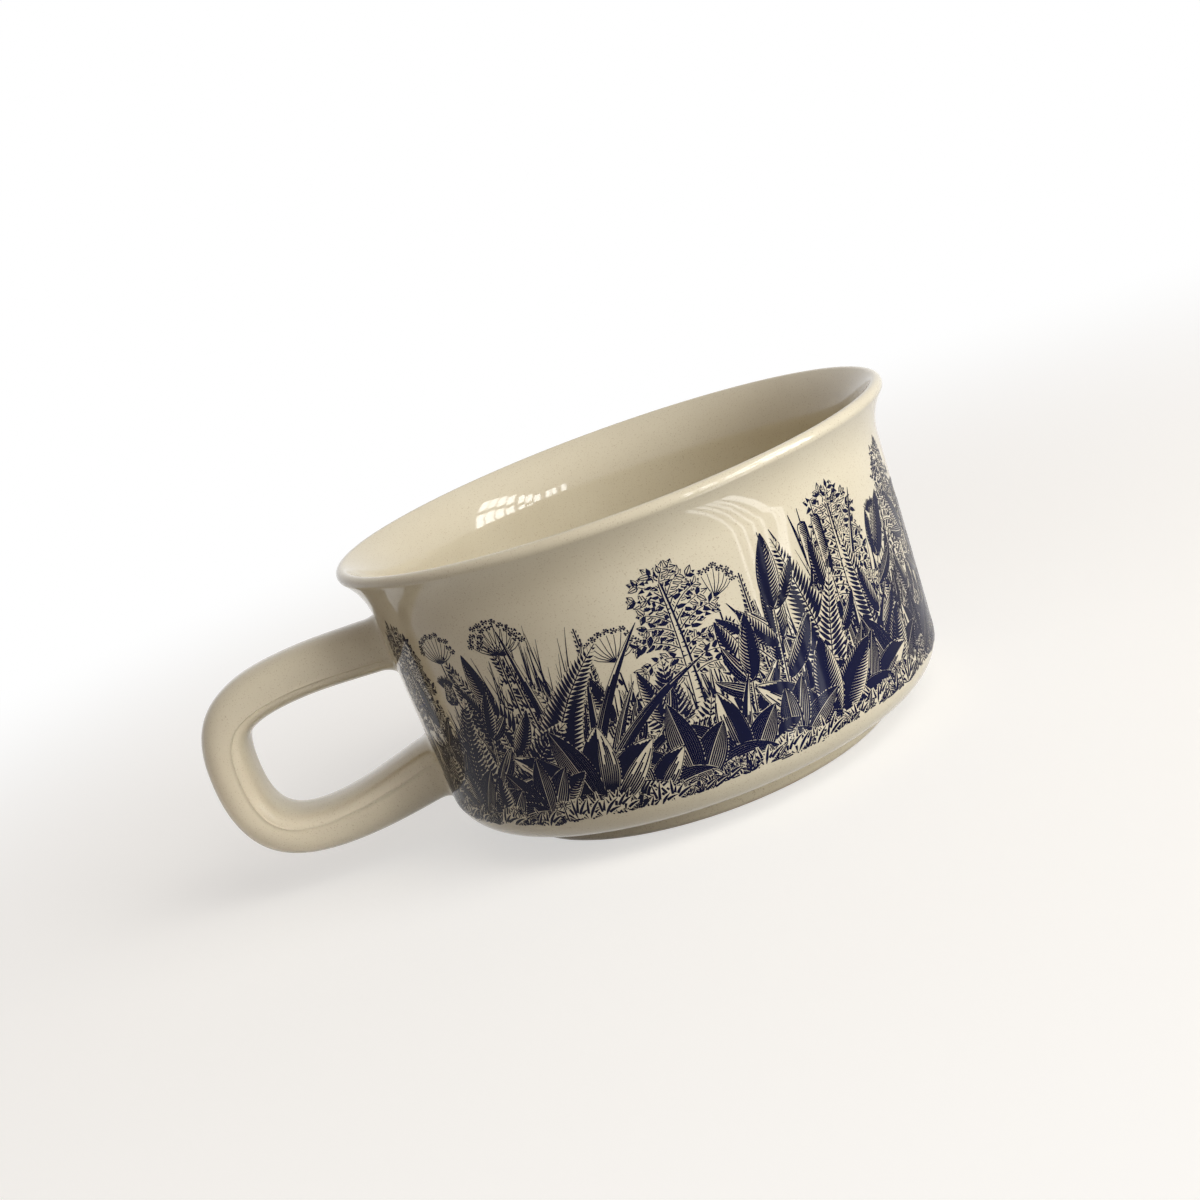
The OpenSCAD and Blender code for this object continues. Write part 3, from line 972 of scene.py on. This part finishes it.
world = bpy.data.worlds.new("studio")
bpy.context.scene.world = world
world.use_nodes = True
tree = world.node_tree
glow_round = tree.nodes["Background"]
glow_round.inputs["Color"].default_value = (1.0, 0.78, 0.58, 1)
glow_round.inputs["Strength"].default_value = 0.18
paper = add_node(tree, "ShaderNodeBackground", (-300, -200))
paper.inputs["Color"].default_value = WHITE
paper.inputs["Strength"].default_value = 1.0
pick = add_node(tree, "ShaderNodeMixShader", (0, 0))
tree.links.new(light_path(tree), pick.inputs[0])
tree.links.new(glow_round.outputs[0], pick.inputs[1])
tree.links.new(paper.outputs[0], pick.inputs[2])
tree.links.new(pick.outputs[0], tree.nodes["World Output"].inputs["Surface"])

sheet = bpy.data.materials.new("pale_sheet")
sheet.use_nodes = True
tree = sheet.node_tree
matt = tree.nodes["Principled BSDF"]
matt.inputs["Base Color"].default_value = (0.50, 0.49, 0.47, 1)
matt.inputs["Roughness"].default_value = 0.9
matt.inputs["Specular IOR Level"].default_value = 0.0
where = add_node(tree, "ShaderNodeTexCoord", (-1100, -500))
gap = add_node(tree, "ShaderNodeVectorMath", (-900, -500), operation="LENGTH")
tree.links.new(where.outputs["Object"], gap.inputs[0])
far = add_node(tree, "ShaderNodeMapRange", (-700, -500), interpolation_type="SMOOTHSTEP")
far.inputs["From Min"].default_value = 0.10
far.inputs["From Max"].default_value = 0.50
tree.links.new(gap.outputs["Value"], far.inputs["Value"])
seen = light_path(tree)
lift = add_node(tree, "ShaderNodeMath", (-300, -100), operation="MULTIPLY")
lift.inputs[1].default_value = 0.56
tree.links.new(seen, lift.inputs[0])
near = add_node(tree, "ShaderNodeEmission", (-100, -100))
near.inputs["Color"].default_value = WHITE
tree.links.new(lift.outputs[0], near.inputs["Strength"])
lit = add_node(tree, "ShaderNodeAddShader", (100, 0))
tree.links.new(matt.outputs[0], lit.inputs[0])
tree.links.new(near.outputs[0], lit.inputs[1])
distant = add_node(tree, "ShaderNodeEmission", (-100, -300))
distant.inputs["Color"].default_value = WHITE
away = add_node(tree, "ShaderNodeMath", (-300, -500), operation="MULTIPLY")
tree.links.new(far.outputs["Result"], away.inputs[0])
tree.links.new(seen, away.inputs[1])
blend = add_node(tree, "ShaderNodeMixShader", (300, 0))
tree.links.new(away.outputs[0], blend.inputs[0])
tree.links.new(lit.outputs[0], blend.inputs[1])
tree.links.new(distant.outputs[0], blend.inputs[2])
tree.links.new(blend.outputs[0], tree.nodes["Material Output"].inputs["Surface"])
bm = bmesh.new()
bmesh.ops.create_circle(bm, cap_ends=True, segments=96, radius=6.0)
mesh = bpy.data.meshes.new("floor")
bm.to_mesh(mesh)
bm.free()
mesh.materials.append(sheet)
floor = bpy.data.objects.new("floor", mesh)
bpy.context.collection.objects.link(floor)


def lamp(name, at, target, wide, high, power, colour=(1, 1, 1)):
    """An oblong lamp at one place, which faces another and isn't seen itself."""
    light = bpy.data.lights.new(name, "AREA")
    light.shape = "RECTANGLE"
    light.size = wide
    light.size_y = high
    light.energy = power
    light.color = colour
    lit = bpy.data.objects.new(name, light)
    lit.visible_camera = False
    facing = (target - at).to_track_quat("-Z", "Y").to_matrix()
    lit.matrix_world = Matrix.Translation(at) @ facing.to_4x4()
    bpy.context.collection.objects.link(lit)
    return lit


def toward(bearing, rise):
    """The direction at a bearing from the right and a rise above the level, both in radians."""
    return Vector((math.cos(bearing) * math.cos(rise), math.sin(bearing) * math.cos(rise),
                   math.sin(rise)))


DAYLIGHT_AWAY = 0.85
DAYLIGHT_WIDE = 0.555
mug_middle = Vector((0, 0, 35 * MM))
day_middle = mug_middle + DAYLIGHT_AWAY * toward(math.radians(-38), 0.45)
facing = (mug_middle - day_middle).to_track_quat("-Z", "Y").to_matrix()
for up, tall, power in ((-0.322, 0.135, 2.15), (-0.195, 0.075, 1.20),
                        (0.0, 0.24, 1.57), (0.27, 0.24, 1.57)):
    shift = facing @ Vector((0, up, 0))
    daylight = lamp("daylight", day_middle + shift, mug_middle + shift,
                    DAYLIGHT_WIDE, tall, power, (1.0, 0.99, 0.96))
    daylight.visible_glossy = False
sky = lamp("skylight", mug_middle + Vector((0.50, -0.66, 0.86)), mug_middle,
           0.8, 0.8, 4.2, (1.0, 0.98, 0.94))
sky.visible_glossy = False
fill = lamp("back_fill", mug_middle + Vector((-0.06, 0.90, 0.09)), mug_middle,
            1.1, 0.24, 2.4, (1.0, 0.95, 0.88))
fill.visible_glossy = False

# A small warm light from low in front brightens the handle's elbow alone.
elbow = Vector((-93, 0, 10)) * MM
low = lamp("elbow_light", Vector((-100, -240, 4)) * MM, elbow,
           0.05, 0.05, 0.0034, (1.0, 0.92, 0.84))
low.data.spread = math.radians(15)
low.visible_glossy = False

# The far inner wall mirrors the slatted panel: four panes wide and two high, each cut
# into upright slats. Bearings and heights are in degrees, as that wall sees them.
mirror = Vector((-20, 46, 54)) * MM
PANEL_AWAY = 0.38
PANEL_GLOW = 8.5
SLAT_SHARE = 0.84
SILL = -6.7
for first, last, slats in ((-18, -41, 4), (-42.5, -54.5, 3), (-57, -62.5, 2), (-64.5, -67.5, 1)):
    for i in range(slats):
        slot = abs(last - first) / slats
        bearing = first - slot * (i + 0.5)
        head = max(19, 42 - 0.0195 * (bearing + 18) ** 2)
        for top, bottom in ((head, head - 12), (head - 17, SILL)):
            if top > bottom + 0.5:
                rise = math.radians((top + bottom) / 2)
                at = mirror + PANEL_AWAY * toward(math.radians(bearing), rise)
                wide = PANEL_AWAY * math.radians(SLAT_SHARE * slot) * math.cos(rise)
                tall = PANEL_AWAY * math.radians(top - bottom)
                slat = lamp("slat", at, mirror, wide, tall, 4 * wide * tall * PANEL_GLOW)
                slat.visible_diffuse = False

# A long pale reflection runs down the outer wall in ribs. Seven strips fan out low over
# the sheet, each bent once, and the three on the right lie close together.
for share, glow in ((0, 3.0), (0.22, 3.0), (0.42, 3.0), (0.60, 3.2),
                    (0.84, 3.4), (0.91, 3.4), (0.98, 3.6)):
    near_end = Vector((27 + 21 * share, -67 + 4 * share, 4)) * MM
    bend = Vector((107 + 26 * share, -152 + 47 * share, 4)) * MM
    far_end = Vector((150 + 40 * share, -200 + 82 * share, 4)) * MM
    for start, end, wide in ((near_end, bend, 2.6 * MM), (bend, far_end, 3.8 * MM)):
        run = end - start
        strip = lamp("strip", start, mug_middle, run.length, wide, 4 * run.length * wide * glow)
        strip.matrix_world = (Matrix.Translation((start + end) / 2)
                              @ Matrix.Rotation(math.atan2(run.y, run.x), 4, "Z")
                              @ Matrix.Rotation(math.pi, 4, "X"))
        strip.visible_diffuse = False
